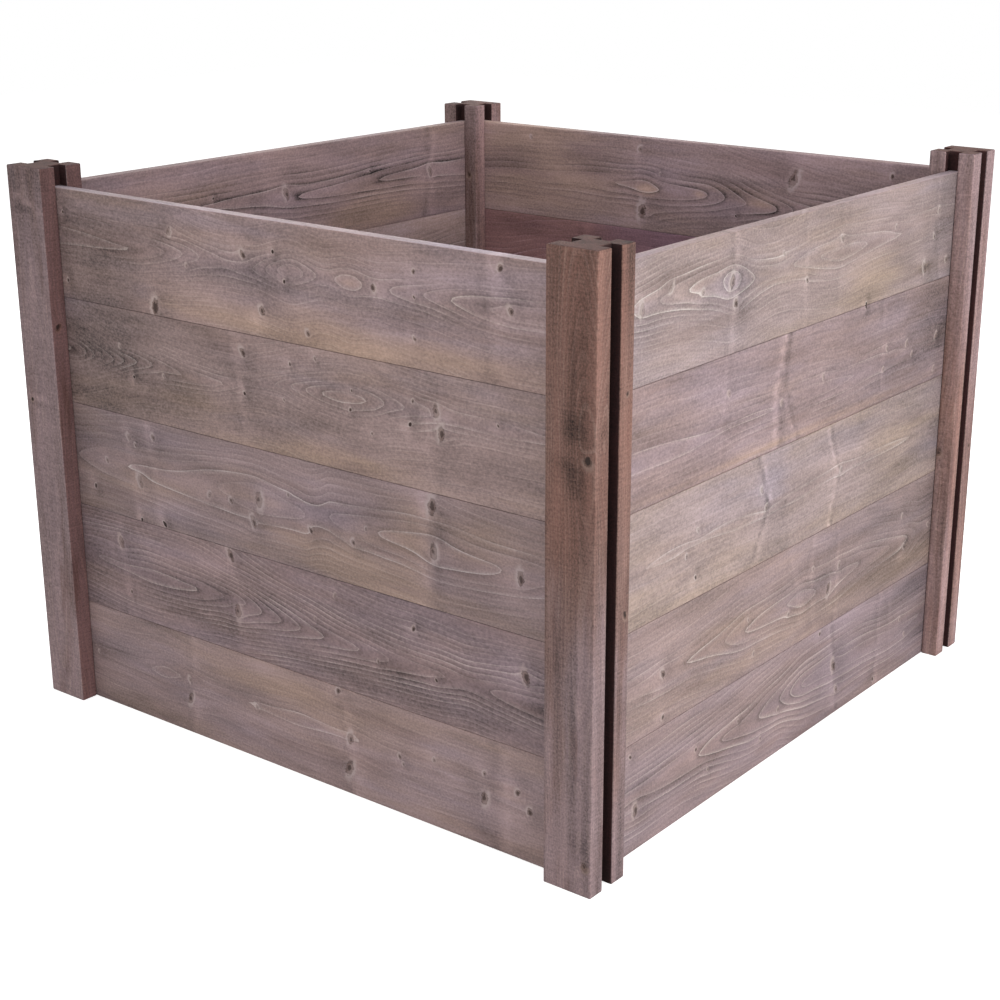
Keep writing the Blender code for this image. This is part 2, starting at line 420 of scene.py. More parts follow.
boardFigures = {
    "front_board_5": {
        # painted light on the top edge, lighter and bluer as light from above falls on it
        "tone": 0.0, "tint": (1.01, 1.0, 0.99), "paintedEdgeLight": (1.27, 1.40, 1.52),
        "ringWidth": 5.5, "figureHeight": 20,
        "tips": [(-259, 86, 1), (-212, 88, 1), (-178, 88, 1), (-146, 88, 1), (-50, 88, -1),
                 (-28, 88, -1), (-6, 88, -1), (30, 88, 1), (48, 88, 1), (91, 89, -1), (129, 89, 1),
                 (176, 88, -1), (232, 88, -1), (269, 88, -1), (310, 88, -1)],
        "strength": [(-440, 0.3), (-370, 0.7), (-150, 0.9), (-70, 0.5), (20, 0.9), (150, 0.7),
                     (345, 0.9), (440, 0.5)],
        "knots": [(-415, 118, 4, 0.9), (-415, 25, 5, 0.8), (-205, 115, 10, -0.4), (-70, 102, 11, 0.65),
                  (-17, 112, 5, 1.0), (1, 77, 5, 0.9), (-175, 75, 5, 0.4), (-240, 12, 15, 0.75),
                  (-40, 34, 11, 0.6), (38, 17, 8, 0.5), (149, 88, 9, -0.6), (213, 86, 4, 0.6),
                  (213, 116, 6, 0.6), (213, 36, 6, 0.5), (342, 136, 9, 0.65), (357, 89, 10, 0.6)],
        "streaks": [(330, 335, 345, 30, 0.5)],
        "patches": [(-58, 78, 62, 26, -0.65, 0.2), (200, 75, 50, 34, -0.6, 0.25),
                    (-262, 30, 26, 16, -0.6, 0.2), (85, 10, 340, 18, 0.5, -0.5),
                    (342, 118, 12, 14, 0.6, 0.2), (110, 89, 16, 5, 0.6, -0.5),
                    # painted shade: the broad dark patch at x -380 over the left end, where less light
                    # falls
                    (-380, 75, 150, 160, -1.5, 0.1), (310, 75, 150, 100, 0.2, 0.35),
                    (-52, 22, 10, 10, 0.5, 0.0)],
    },
    "front_board_4": {
        "tone": -0.06, "ringWidth": 5.0, "figureHeight": 15, "pithDepth": 8,
        "tips": [(-402, 80, 1), (-386, 80, 1), (-370, 79, 1), (-352, 79, 1), (-333, 78, 1),
                 (-312, 78, 1), (-284, 78, 1), (-246, 78, 1), (-190, 78, 1), (-128, 80, 1),
                 (-20, 92, -1), (5, 94, -1), (32, 94, -1), (60, 94, -1), (148, 94, 1), (165, 95, 1),
                 (195, 96, 1), (235, 98, 1)],
        "strength": [(-440, 0.9), (-320, 1.0), (-200, 0.9), (-80, 0.4), (40, 0.7), (200, 0.9),
                     (300, 0.5), (440, 0.4)],
        "knots": [(-317, 97, 6, 0.3), (-292, 58, 4, 1.0), (-232, 69, 5, 0.4), (-79, 125, 11, 0.65),
                  (5, 123, 5, 0.7), (-79, 71, 5, 0.9), (-8, 74, 4, 0.5), (49, 136, 5, 0.5),
                  (109, 106, 4, 0.6), (106, 81, 5, 0.7), (203, 80, 6, 0.9), (141, 57, 4, 0.5),
                  (208, 109, 5, 0.6), (244, 103, 12, -0.5), (252, 77, 13, 0.6), (338, 102, 4, 0.6)],
        "streaks": [(-95, -85, -80, 20, 0.5), (240, 246, 250, 26, -0.4)],
        "patches": [(-190, 60, 46, 20, -0.7, -0.3), (-67, 75, 36, 22, -0.7, 0.0),
                    # painted shade: the broad dark patch at x -370 over the left end, where less light
                    # falls
                    (60, 10, 130, 16, 0.6, -0.6), (-370, 75, 160, 160, -1.7, 0.0),
                    (330, 90, 120, 50, 0.3, 0.2), (252, 70, 20, 20, -0.5, 0.1)],
    },
    "front_board_3": {
        "tone": -0.15, "tint": (1.0, 1.01, 1.06), "figureHeight": 40, "pithDepth": 22,
        "tips": [(-331, 75, -1), (-156, 78, -1), (22, 74, 1), (63, 85, -1), (156, 79, -1),
                 (322, 79, 1)],
        "strength": [(-440, 0.6), (-330, 0.8), (-60, 0.9), (60, 0.8), (320, 0.9), (440, 0.6)],
        "knots": [(-312, 119, 9, 0.4), (-299, 110, 6, 0.4), (-262, 128, 9, 0.5), (-361, 77, 7, 0.4),
                  (-295, 60, 12, 0.4), (-390, 34, 6, 0.8), (-62, 80, 16, -0.45), (-74, 47, 12, 0.5),
                  (-156, 68, 8, 0.4), (-115, 68, 8, 0.5), (-8, 98, 5, 0.4), (30, 58, 8, 0.6),
                  (-296, 3, 5, 1.0), (-249, 6, 7, 1.0), (104, 58, 8, 0.5), (126, 81, 5, 0.4),
                  (235, 133, 16, 0.65), (237, 75, 14, -0.5), (371, 72, 13, 0.6)],
        "streaks": [(224, 222, 222, -34, 0.9), (-322, -310, -300, 18, 0.4),
                    (-275, -262, -255, 18, 0.4)],
        "patches": [(200, 75, 30, 60, 0.3, -0.2), (252, 60, 20, 50, -0.4, 0.2),
                    (140, 18, 90, 22, 0.5, -0.6), (220, 133, 9, 16, 0.7, 0.2),
                    (60, 100, 90, 30, 0.1, 0.4), (-200, 20, 120, 20, -0.2, 0.2),
                    # painted shade: the broad dark patch over the left end, where less light falls
                    (-430, 75, 110, 160, -0.9, 0.0)],
    },
    "front_board_2": {
        "tone": -0.20, "tint": (1.01, 0.97, 0.99), "hue": 0.2, "figureHeight": 62, "ringWidth": 6.0,
        "tips": [(-390, 75, -1), (-187, 75, 1), (-149, 74, 1), (-99, 72, 1), (-65, 71, 1), (-31, 70, 1),
                 (4, 69, 1), (51, 68, 1), (101, 67, 1), (154, 66, 1), (251, 65, 1), (326, 65, -1),
                 (382, 66, -1)],
        "strength": [(-440, 0.6), (-330, 0.9), (-60, 1.1), (100, 1.1), (250, 1.0), (330, 0.9),
                     (440, 0.9)],
        "knots": [(-343, 109, 12, 0.5), (-329, 38, 5, 0.6), (-121, 140, 13, 0.65), (-112, 61, 14, -0.5),
                  (69, 128, 6, 0.4), (202, 115, 7, 0.7), (32, 87, 4, 0.4), (141, 55, 5, 0.5),
                  (238, 55, 5, 0.7), (379, 97, 13, 0.65)],
        "streaks": [(-128, -112, -105, 26, 0.5), (-345, -340, -330, 20, 0.4)],
        "patches": [(-168, 125, 34, 22, 0.8, 0.0), (225, 15, 130, 13, -0.7, 0.2),
                    (0, 45, 600, 45, -0.4, 0.0), (360, 110, 60, 30, 0.2, 0.5),
                    # painted shade: the broad dark patch over the left end, where less light falls
                    (-430, 75, 70, 160, -0.8, 0.0)],
    },
    "front_board_1": {
        "tone": -0.06, "tint": (1.0, 1.0, 1.03), "figureHeight": 13, "pithDepth": 6,
        "tips": [(-300, 79, -1), (-240, 79, 1), (-93, 78, -1), (80, 77, 1)],
        "strength": [(-440, 0.3), (-300, 0.6), (-240, 0.5), (-150, 0.3), (0, 0.7), (100, 0.4),
                     (440, 0.3)],
        "knots": [(-411, 74, 5, 0.4), (-217, 81, 9, 0.4), (-218, 53, 12, -0.6), (-85, 77, 6, 0.4),
                  (69, 144, 9, 0.65), (88, 81, 12, 0.5), (85, 37, 16, -0.6), (174, 81, 7, 0.5),
                  (180, 72, 5, 0.4), (232, 94, 6, 0.4), (314, 100, 7, 0.5), (314, 66, 13, -0.6),
                  (366, 90, 9, 0.6), (385, 70, 10, 0.65)],
        "streaks": [(78, 92, 100, 24, 0.7), (-206, -206, -208, 18, 0.5), (345, 348, 350, 26, 0.6)],
        "patches": [(103, 37, 12, 14, 0.5, 0.0), (316, 22, 20, 28, -0.8, 0.1),
                    (250, 75, 220, 100, 0.25, 0.0), (0, 120, 150, 20, 0.2, -0.4),
                    # painted shade: the broad dark patch over the left end, where less light falls
                    (-430, 75, 180, 160, -0.7, 0.0)],
    },
    # painted light on the top edge of this board, lighter as light from above falls on it
    "right_board_5": {
        # painted light: the tint pales this board and takes out some red, as strong light on the right
        # wall does
        "tone": -0.05, "tint": (0.98, 1.05, 1.05), "paintedEdgeLight": (1.14, 1.18, 1.24),
        "figureHeight": 28, "ringWidth": 6.0,
        "tips": [(-395, 92, -1), (-330, 92, -1), (-270, 90, -1), (-206, 90, -1), (-156, 90, 1),
                 (-128, 88, 1), (-28, 88, -1), (16, 88, -1), (160, 86, 1), (279, 86, 1)],
        "strength": [(-440, 0.9), (-250, 0.9), (-120, 0.8), (0, 0.4), (160, 0.25), (279, 0.2),
                     (440, 0.3)],
        "knots": [(-315, 105, 10, -0.35), (-373, 89, 12, 0.3), (-246, 88, 8, 0.35), (-181, 90, 13, 0.5),
                  (-171, 62, 11, 0.65), (2, 62, 7, 0.6), (91, 103, 9, 0.35), (376, 103, 8, 0.35),
                  (244, 97, 6, 0.3), (366, 66, 7, 0.5), (-60, 106, 6, 0.3), (341, 25, 12, 0.5),
                  (410, 26, 8, 0.5), (169, 2, 5, 1.0)],
        "streaks": [(-171, -174, -180, 18, 0.8), (372, 378, 394, 12, 0.5), (0, -2, 0, 12, 0.4),
                    (95, 94, 90, 14, 0.3)],
        "patches": [(175, 30, 90, 34, 0.1, -0.5), (341, 25, 20, 6, -1.2, -0.6),
                    (410, 26, 11, 5, -1.0, -0.6), (-180, 70, 50, 50, -0.3, 0.4),
                    # painted shade: the broad dark patch over the right end, where less light falls
                    (-400, 60, 60, 40, 0.3, 0.3), (430, 75, 90, 160, -0.9, 0.2)],
    },
    "right_board_4": {
        "tone": -0.12, "hue": 0.15, "figureHeight": 22,
        "tips": [(-149, 58, 1), (154, 57, 1)],
        "strength": [(-440, 0.3), (-149, 0.5), (60, 0.5), (150, 1.0), (300, 0.4), (440, 0.4)],
        "knots": [(169, 148, 5, 1.0), (-179, 100, 8, 0.3), (-48, 60, 8, 0.3), (60, 72, 7, 0.3),
                  (241, 75, 7, 0.4), (232, 47, 6, 0.4), (301, 72, 8, 0.4), (319, 53, 6, 0.4),
                  (394, 66, 9, 0.4), (394, 16, 7, 0.4)],
        "streaks": [(-46, -65, -60, -22, 1.4), (-36, -40, 0, 14, -0.9), (-180, -181, -190, 14, -0.4),
                    (226, 227, 235, 12, 0.5)],
        # painted shade: the broad dark patches towards and over the right end, where less light falls
        "patches": [(-40, 8, 340, 5, 0.5, -0.3), (320, 75, 170, 90, -0.8, 0.1),
                    (430, 75, 90, 160, -0.8, 0.0)],
    },
    "right_board_3": {
        # painted light: the tint pales this board and takes out some red, as strong light on the right
        # wall does
        "tone": -0.02, "hue": -0.1, "tint": (0.98, 1.06, 1.08), "figureHeight": 8, "pithDepth": 4,
        "tips": [(-430, 74, -1), (430, 74, 1)],
        "strength": [(-440, 0.3), (0, 0.5), (440, 0.3)],
        "knots": [(-89, 102, 9, 0.3), (-240, 89, 6, 0.3), (-243, 28, 6, 0.7), (-265, 62, 6, 0.5),
                  (-76, 75, 8, 0.4), (124, 76, 8, 0.3)],
        "streaks": [(-90, -64, -102, 14, 1.4), (80, 113, 95, -13, 1.5), (-30, -10, 0, 36, 0.3)],
        "patches": [(-180, 26, 60, 3, -0.8, 0.0), (-60, 100, 40, 50, -0.2, 0.5),
                    (-200, 110, 100, 30, -0.1, 0.4), (300, 60, 100, 50, -0.1, -0.3),
                    # painted shade: the broad dark patch over the right end, where less light falls
                    (430, 75, 90, 160, -0.9, 0.2)],
    },
    "right_board_2": {
        # painted light: the tint pales this board and takes out some red, as strong light on the right
        # wall does
        "tone": -0.14, "tint": (1.0, 1.02, 1.02), "figureHeight": 32,
        "tips": [(-249, 68, -1), (-181, 68, -1), (-124, 68, -1), (-6, 66, -1), (69, 66, 1),
                 (197, 66, 1), (279, 66, 1), (354, 66, 1), (379, 66, 1)],
        "strength": [(-440, 0.7), (-250, 0.9), (0, 0.8), (200, 0.5), (300, 0.7), (440, 0.5)],
        "knots": [(-311, 71, 11, 0.65), (60, 99, 6, 0.4), (135, 83, 8, 0.4), (106, 55, 12, -0.55),
                  (-110, 78, 5, 0.4), (-4, 52, 6, 0.4), (338, 52, 8, 0.6), (326, 104, 7, 0.35),
                  (416, 66, 7, 0.4), (-93, 24, 6, 0.4), (-309, 12, 7, 0.6)],
        "streaks": [(60, 55, 70, 16, 0.5), (130, 128, 132, 14, 0.5), (-6, 20, 40, 20, 0.3)],
        # painted shade: the broad dark patches towards and over the right end, where less light falls
        "patches": [(32, 66, 34, 6, 0.9, 0.0), (300, 110, 180, 46, -0.8, 0.1),
                    (300, 30, 180, 36, -0.5, -0.4), (430, 75, 90, 160, -0.8, 0.0)],
    },
    "right_board_1": {
        "tone": -0.14, "hue": 0.2, "figureHeight": 50, "pithDepth": 16,
        "tips": [(-212, 75, -1), (-151, 75, -1), (-88, 75, -1), (-15, 75, -1), (13, 75, -1),
                 (47, 75, -1), (428, 66, 1)],
        "strength": [(-440, 1.0), (-215, 1.3), (-80, 1.3), (10, 1.2), (120, 0.7), (440, 0.4)],
        "knots": [(-379, 134, 6, 0.65), (-366, 56, 12, 0.6), (-229, 86, 6, 0.6), (-198, 46, 5, 0.4),
                  (-126, 88, 5, 0.5), (-65, 39, 5, 0.5), (-20, 66, 6, 0.4), (135, 78, 14, 0.6),
                  (147, 37, 10, 0.45), (263, 12, 7, -0.7), (341, 84, 6, 0.4), (89, 143, 6, 0.6),
                  (360, 53, 6, 0.3)],
        "streaks": [(122, 140, 150, 14, -0.8), (270, 272, 270, 14, 0.6), (300, 310, 320, 16, 0.3)],
        "patches": [(140, 90, 50, 50, -0.3, 0.4), (330, 125, 120, 30, -0.4, 0.2),
                    # painted shade: the broad dark patch over the right end, where less light falls
                    (430, 75, 90, 160, -0.9, 0.2)],
    },
    "left_board_5": {
        "tone": -0.13, "tint": (1.02, 0.99, 1.05), "dusk": 0.5, "figureHeight": 30,
        "tips": [(-150, 85, -1), (10, 76, -1), (265, 74, -1)],
        "strength": [(-440, 0.8), (-100, 1.3), (0, 1.7), (180, 1.6), (330, 1.5), (440, 1.0)],
        "knots": [(-10, 81, 14, 0.5), (333, 76, 12, 0.45), (183, 94, 4, 0.8), (-163, 93, 4, 0.8)],
        "streaks": [(345, 338, 335, 24, 0.9), (-60, -50, -40, 36, 0.3)],
        "patches": [(190, 25, 110, 22, 0.1, -1.0), (0, 91, 420, 4, -0.8, 0.0),
                    # painted shade: the broad dark patch over the end at -x, where less light falls
                    (-430, 75, 60, 160, -0.5, 0.0)],
    },
    "back_board_5": {
        "tone": 0.03, "tint": (1.05, 1.04, 1.13), "dusk": 0.5, "figureHeight": 30,
        "tips": [(-122, 68, -1), (-58, 66, 1), (34, 68, 1), (70, 67, 1), (112, 66, 1), (163, 65, 1),
                 (188, 66, 1), (232, 67, 1), (290, 68, 1)],
        "strength": [(-440, 0.4), (-200, 0.7), (-100, 1.4), (200, 1.4), (440, 0.8)],
        "knots": [(-100, 131, 10, 0.5), (188, 111, 18, -0.6), (-94, 31, 18, 0.65), (355, 130, 8, 0.65),
                  (86, 42, 4, 0.9), (-324, 132, 6, 0.3), (-60, 95, 4, 0.5)],
        "streaks": [(-110, -102, -96, 16, 0.4)],
        "patches": [(-84, 66, 18, 8, 2.4, -1.2), (16, 68, 12, 6, 1.4, -0.5),
                    (131, 65, 26, 6, 1.2, -0.5), (350, 75, 120, 100, -0.4, 0.0),
                    (-330, 80, 130, 70, 0.0, -0.8), (60, 96, 150, 5, -0.5, 0.0)],
    },
    "left_board_4": {"tone": 0.10},
    "back_board_4": {
        # painted shade: this board's inner face is darker and maroon, as shade and light reflected off
        # the stained walls inside the bin make it; its tone, tint and patches carry it
        "tone": -0.12, "tint": (0.99, 0.77, 0.96),
        "patches": [(-340, 110, 150, 80, -0.5, -1.2), (150, 75, 250, 100, 0.1, 1.0)],
    },
}


def drawFigure(number):
    # the figure of a board that the photo doesn't show, drawn from its number
    chance = np.random.default_rng(400 + number)
    count = chance.integers(3, 10)
    turnAt, way = chance.integers(0, count), chance.choice([-1, 1])
    line = chance.uniform(62, 90)
    tips = [(x, line + chance.uniform(-3, 3), way if i < turnAt else -way)
            for i, x in enumerate(np.sort(chance.uniform(-410, 410, count)))]
    knots = [(chance.uniform(-420, 420), chance.uniform(12, 140), chance.choice([4, 5, 7, 10, 15]),
              chance.uniform(0.3, 0.7) * chance.choice([-1, 1, 1]))
             for _ in range(chance.integers(6, 13))]
    big = [knot for knot in knots if knot[2] > 9][:2]
    return {
        "tone": chance.uniform(-0.05, 0.05), "figureHeight": chance.uniform(22, 50),
        "tips": tips,
        "strength": [(x, chance.uniform(0.5, 1.2)) for x in (-440, -150, 150, 440)],
        "knots": knots,
        "streaks": [(x + chance.uniform(-8, 8), x, x + chance.uniform(-8, 8), 20,
                     chance.uniform(0.3, 0.9)) for x, _, _, _ in big],
        "patches": [(chance.uniform(-400, 400), chance.uniform(20, 130), chance.uniform(40, 150),
                     chance.uniform(15, 50), chance.uniform(-0.5, 0.5), chance.uniform(-0.6, 0.6))
                    for _ in range(6)],
    }


def ringLevels(x, tips):
    # how many rings are added up to x, a whole number at each tip; the count turns back between
    # tips that point apart or together
    half, turnBy, endBy, endRun = boardStock["halfLength"], 0.7, 0.9, 90
    stops, levels = [-half], []
    level, last = 20, None
    for at, _, way in tips:
        if last is None:
            levels.append(level - way * min(endBy, (at + half) / endRun))
        elif way == last:
            level += way
        else:
            stops.append((stops[-1] + at) / 2)
            levels.append(level + turnBy * last)
        stops.append(at)
        levels.append(level)
        last = way
    stops.append(half)
    levels.append(level + last * min(endBy, (half - stops[-2]) / endRun))
    return sum(np.interp(x + shift, stops, levels) for shift in (-10, 0, 10)) / 3  # rounds the turns


def ripple(chance, across, up, spots, waves=12):
    # a smooth uneven field, mostly from -1 to 1, in spots of the given width and height
    total = np.zeros(len(across))
    for _ in range(waves):
        angle, shift = chance.uniform(0, 2 * math.pi, 2)
        size = chance.uniform(0.5, 1.6) * 2 * math.pi
        run = across * math.cos(angle) / spots[0] + up * math.sin(angle) / spots[1]
        total += np.cos(size * run + shift)
    return total / math.sqrt(waves)


def bend(along, up, knots, reach):
    # the height that each point would have if the grain didn't swing round the knots, as water
    # does round a stone
    bent = up.copy()
    for knotAlong, knotUp, size, _ in knots:
        dx, dz, radius = (along - knotAlong) / reach, up - knotUp, 0.75 * size
        bent -= dz * radius ** 2 / (dx ** 2 + dz ** 2 + 0.8 * radius ** 2)  # smooth inside it too
    return bent


def cutGrid(node, centre, steps):
    # a merged copy of a CAD node in its own place, cut into cells for the grain fields
    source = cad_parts[node]
    mesh = source.data.copy()
    body = bmesh.new()
    body.from_mesh(mesh)
    bmesh.ops.remove_doubles(body, verts=body.verts, dist=1e-5)
    bmesh.ops.dissolve_limit(body, angle_limit=math.radians(1), verts=body.verts, edges=body.edges)
    bmesh.ops.transform(body, matrix=Matrix.Translation(-Vector(centre)), verts=body.verts)
    for axis, step in steps:
        values = [vertex.co[axis] for vertex in body.verts]
        low, high = min(values), max(values)
        count = round((high - low) / (step * mm))
        normal = Vector([float(i == axis) for i in range(3)])
        for i in range(1, count):
            at = normal * (low + (high - low) * i / count)
            bmesh.ops.bisect_plane(body, geom=body.verts[:] + body.edges[:] + body.faces[:],
                                   dist=1e-6, plane_co=at, plane_no=normal)
    body.to_mesh(mesh)
    body.free()
    mesh.materials.clear()
    return mesh


def setField(mesh, name, kind, domain, values):
    made = mesh.attributes.new(name, kind, domain)
    flat = np.asarray(values, np.float32).ravel()
    made.data.foreach_set("value" if kind == "FLOAT" else "vector", flat)


def setFaces(mesh, knots, flat, offset, faceTone):
    # each face carries the place and form of the knot nearest to it, and a tone of its own, which holds
    # painted light and shade as well as the end grain
    count = len(mesh.polygons)
    middles, normals, loops = np.empty(count * 3), np.empty(count * 3), np.empty(count, np.int32)
    mesh.polygons.foreach_get("center", middles)
    mesh.polygons.foreach_get("normal", normals)
    mesh.polygons.foreach_get("loop_total", loops)
    middles, normals = middles.reshape(-1, 3) / mm, normals.reshape(-1, 3)
    places = np.array([[x, 0 if flat else y, z] for x, y, z, *_ in knots], float)
    sizes = np.array([size / 2 for _, _, _, size, _ in knots])
    darkness = np.array([abs(dark) for *_, dark in knots])
    paleSide = np.array([math.copysign(1, dark) for *_, dark in knots])
    gaps = middles[:, None, :] - places[None, :, :]
    if flat:
        gaps[:, :, 1] = 0
    nearest = np.argmin(np.linalg.norm(gaps, axis=2) / sizes[None, :], axis=1)
    nearest = np.repeat(nearest, loops)
    look = knotLook
    tilt = look["lean"] * np.sin(places[:, 0] + 2 * places[:, 2]) + look["leanMiddle"]
    form = np.stack([sizes * mm, darkness, tilt], axis=1)
    squeeze = np.ones(len(sizes))
    if flat:
        squeeze = np.where(sizes > look["bigRadius"], look["bigSqueeze"], look["smallSqueeze"])
    order = [0, 1, 2] if flat else [2, 0, 1]  # the grain runs along a board but up a post
    setField(mesh, "knotSpot", "FLOAT_VECTOR", "CORNER", (places[:, order] * mm + offset)[nearest])
    setField(mesh, "knotForm", "FLOAT_VECTOR", "CORNER", form[nearest])
    setField(mesh, "knotHeight", "FLOAT", "CORNER", (squeeze * paleSide)[nearest])
    tones = np.repeat(faceTone(middles, normals), loops, axis=0)
    setField(mesh, "faceTone", "FLOAT_VECTOR", "CORNER", tones)


def toneFaces(count, choices):
    # a red, green and blue factor for each face: the last choice that fits it
    tones = np.ones((count, 3))
    for fits, tone in choices:
        tones[fits] = tone
    return tones


def addPiece(name, node, mesh, material, body):
    mesh.name = name
    mesh.materials.append(material)
    mesh.shade_smooth()
    mesh.set_sharp_from_angle(angle=math.radians(30))
    piece = bpy.data.objects.new(name, mesh)
    bpy.context.scene.collection.objects.link(piece)
    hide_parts(node)
    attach(piece, body)


def addBoard(number, node, template, angle, centre, stock, material):
    figure = {**stock, **drawFigure(number), **boardFigures.get(node, {})}
    chance = np.random.default_rng(number)
    mesh = template.copy()
    count = len(mesh.vertices)
    spots = np.empty(count * 3)
    mesh.vertices.foreach_get("co", spots)
    spots = spots.reshape(-1, 3)
    x, y, z = (spots / mm).T

    # rings round a middle that lies behind the face, and rises and sinks so that they draw arches
    bent = bend(x, z, figure["knots"], figure["knotReach"])
    tipsAlong, tipsUp, _ = np.array(figure["tips"]).T
    line = np.interp(x, tipsAlong, tipsUp)
    line += figure["lineWander"] * ripple(chance, x, z, figure["wanderSpots"], 6)
    height = bent - line
    depth = figure["pithDepth"] + y + figure["thickness"] / 2
    phase = (np.hypot(depth, height) - figure["pithDepth"]) / figure["ringWidth"]
    phase += ringLevels(x, figure["tips"])
    phase += figure["ringWaver"] * ripple(chance, x, z, figure["waverSpots"])
    slopeUp = abs(height) / np.hypot(depth, height) / figure["ringWidth"]
    slopeAlong = (ringLevels(x + 2, figure["tips"]) - ringLevels(x - 2, figure["tips"])) / 4

    # light and dark, and grey and warm: streaks, both sides of each knot, and patches
    band, grey = np.zeros(count), np.full(count, float(figure["hue"]))
    cover = figure["cover"]
    for top, middle, foot, width, strength in figure["streaks"]:
        run = np.interp(z, [0, cover / 2, cover], [foot, middle, top])
        run += figure["streakSway"] * ripple(chance, z, z, figure["swaySpots"], 8)
        side = (x - run) / (width / 2.6)
        uneven = 0.75 + 0.5 * ripple(chance, x, z, figure["streakSpots"], 10)
        pale, deep = np.exp(-side ** 2), 0.8 * np.exp(-(side + 1.5) ** 2)
        band += strength * uneven * (pale - deep)
    for kx, kz, size, dark in figure["knots"]:
        turn = chance.choice([-1, 1])  # which of the two sides sits higher
        wide, tall = (size * times for times in figure["sideSize"])
        across, up = (x - kx) / wide, (z - kz) / tall
        paleAt = -0.7 * math.copysign(1, dark)
        pale = 1.1 * np.exp(-(across - paleAt) ** 2 - (up + 0.3 * turn) ** 2)
        deep = np.exp(-(across + paleAt) ** 2 - (up - 0.4 * turn) ** 2)
        band += abs(dark) * (pale - deep)
    # patches, the broad dark ones at the ends being painted shade
    for px, pz, wide, tall, light, greyness in figure["patches"]:
        spot = np.exp(-((x - px) / wide) ** 2 - ((z - pz) / tall) ** 2)
        band += light * spot
        grey += greyness * spot
    near = np.exp(-(height / figure["figureHeight"]) ** 2)
    contrast = np.interp(x, *np.array(figure["strength"]).T)
    uneven = figure["toneUneven"] * ripple(chance, x, z, figure["toneSpots"])
    figureTone = (figure["farRings"] + near * contrast) * (1 + uneven)
    offset = chance.uniform(-4, 4, 3)  # metres, so that no two boards share their noise
    setField(mesh, "grainPlace", "FLOAT_VECTOR", "POINT", spots + offset)
    setField(mesh, "ringPhase", "FLOAT", "POINT", phase)
    slope = np.maximum(np.hypot(slopeUp, slopeAlong), 0.004)  # rings to each mm
    setField(mesh, "ringSlope", "FLOAT", "POINT", slope)
    setField(mesh, "ringDusk", "FLOAT", "POINT", np.full(count, figure["dusk"]))
    setField(mesh, "tones", "FLOAT_VECTOR", "POINT", np.stack([band, figureTone, grey], axis=1))

    def faceTone(middles, normals):
        return (1 + figure["tone"]) * toneFaces(len(middles), [
            # the face in view takes its tint, on some boards painted light and shade
            (normals[:, 1] < -facing, figure["tint"]),
            # painted light and shade on the top edge
            (middles[:, 2] > cover - 0.4, figure["paintedEdgeLight"]),
            (abs(normals[:, 0]) > facing, figure["endTint"])])

    knots = [(kx, 0, kz, size, dark) for kx, kz, size, dark in figure["knots"]]
    setFaces(mesh, knots, True, offset, faceTone)
    mesh.transform(Matrix.Translation(centre) @ Matrix.Rotation(angle, 4, "Z"))
    name = "".join(part.capitalize() for part in node.split("_"))
    addPiece("planed" + name, node, mesh, material, node)


def addBoards(material):
    # two cut boards serve all: one with a tongue, and the top one without
    stock = boardStock
    steps = [(2, stock["grid"]), (1, stock["gridThrough"]), (0, stock["grid"])]
    walls = {"front": ((0, -1), 0), "right": ((1, 0), 90), "back": ((0, 1), 0), "left": ((-1, 0), 90)}
    out = stock["wallMiddle"] * mm

    def middle(wall, number):
        (x, y), _ = walls[wall]
        return Vector((x * out, y * out, (stock["foot"] + stock["cover"] * (number - 1)) * mm))

    tongued, top = (cutGrid(f"front_board_{number}", middle("front", number), steps)
                    for number in (1, 5))
    count = 0
    for wall, (_, turn) in walls.items():
        print(wall, "boards")
        for number in range(1, 6):
            count += 1
            addBoard(count, f"{wall}_board_{number}", top if number == 5 else tongued,
                     math.radians(turn), middle(wall, number), stock, material)


# the factors of the face towards +x are painted light and shade, lighter or darker as light falls on
# that side
# Posts. Lengths are in millimetres: x and y from the post's middle, z up from the ground.
# tone: how much lighter the post is than its finish
# paintedSideLight: red, green and blue factors of the face towards +x
# pith: (z, x, y) of the tree's middle
# shades: (z, grey above 0 or warm below, light or dark, the same on the face towards +x, where it is
# painted light and shade)
# knots: (x, y, z, size, darkness)
# patches: (x, y, z, half width, half height, light above 0 or dark below)

postStock = {
    "middle": 460.0,       # from the middle of the bin
    "sideFrom": 34.5,      # x from which a point is on the face towards +x
    "grooveInside": 33.0,  # what is nearer the post's middle than this is in a groove
    # the warm hue of the painted shade in the grooves
    "grooveShadeHue": -1.5,
    "grid": 5.0,           # mesh cell
    "ringWidth": 3.4,
    "ringWaver": 0.25,     # how unevenly the rings run, in rings
    "waverSpots": (50, 160),
    "stripes": 0.5,        # contrast of the stripes up the post
    "stripeSpots": (26, 700),
    "fineStripeSpots": (9, 500),
    "toneUneven": 0.3,     # of the rings' contrast
    "toneSpots": (40, 200),
    "paintedGrooveShade": (0.15, 0.08, 0.10),  # painted shade in the sawn grooves, darker where little light reaches
    "endTint": (0.52, 0.49, 0.52),     # of the end grain, which soaks up more than the faces
}

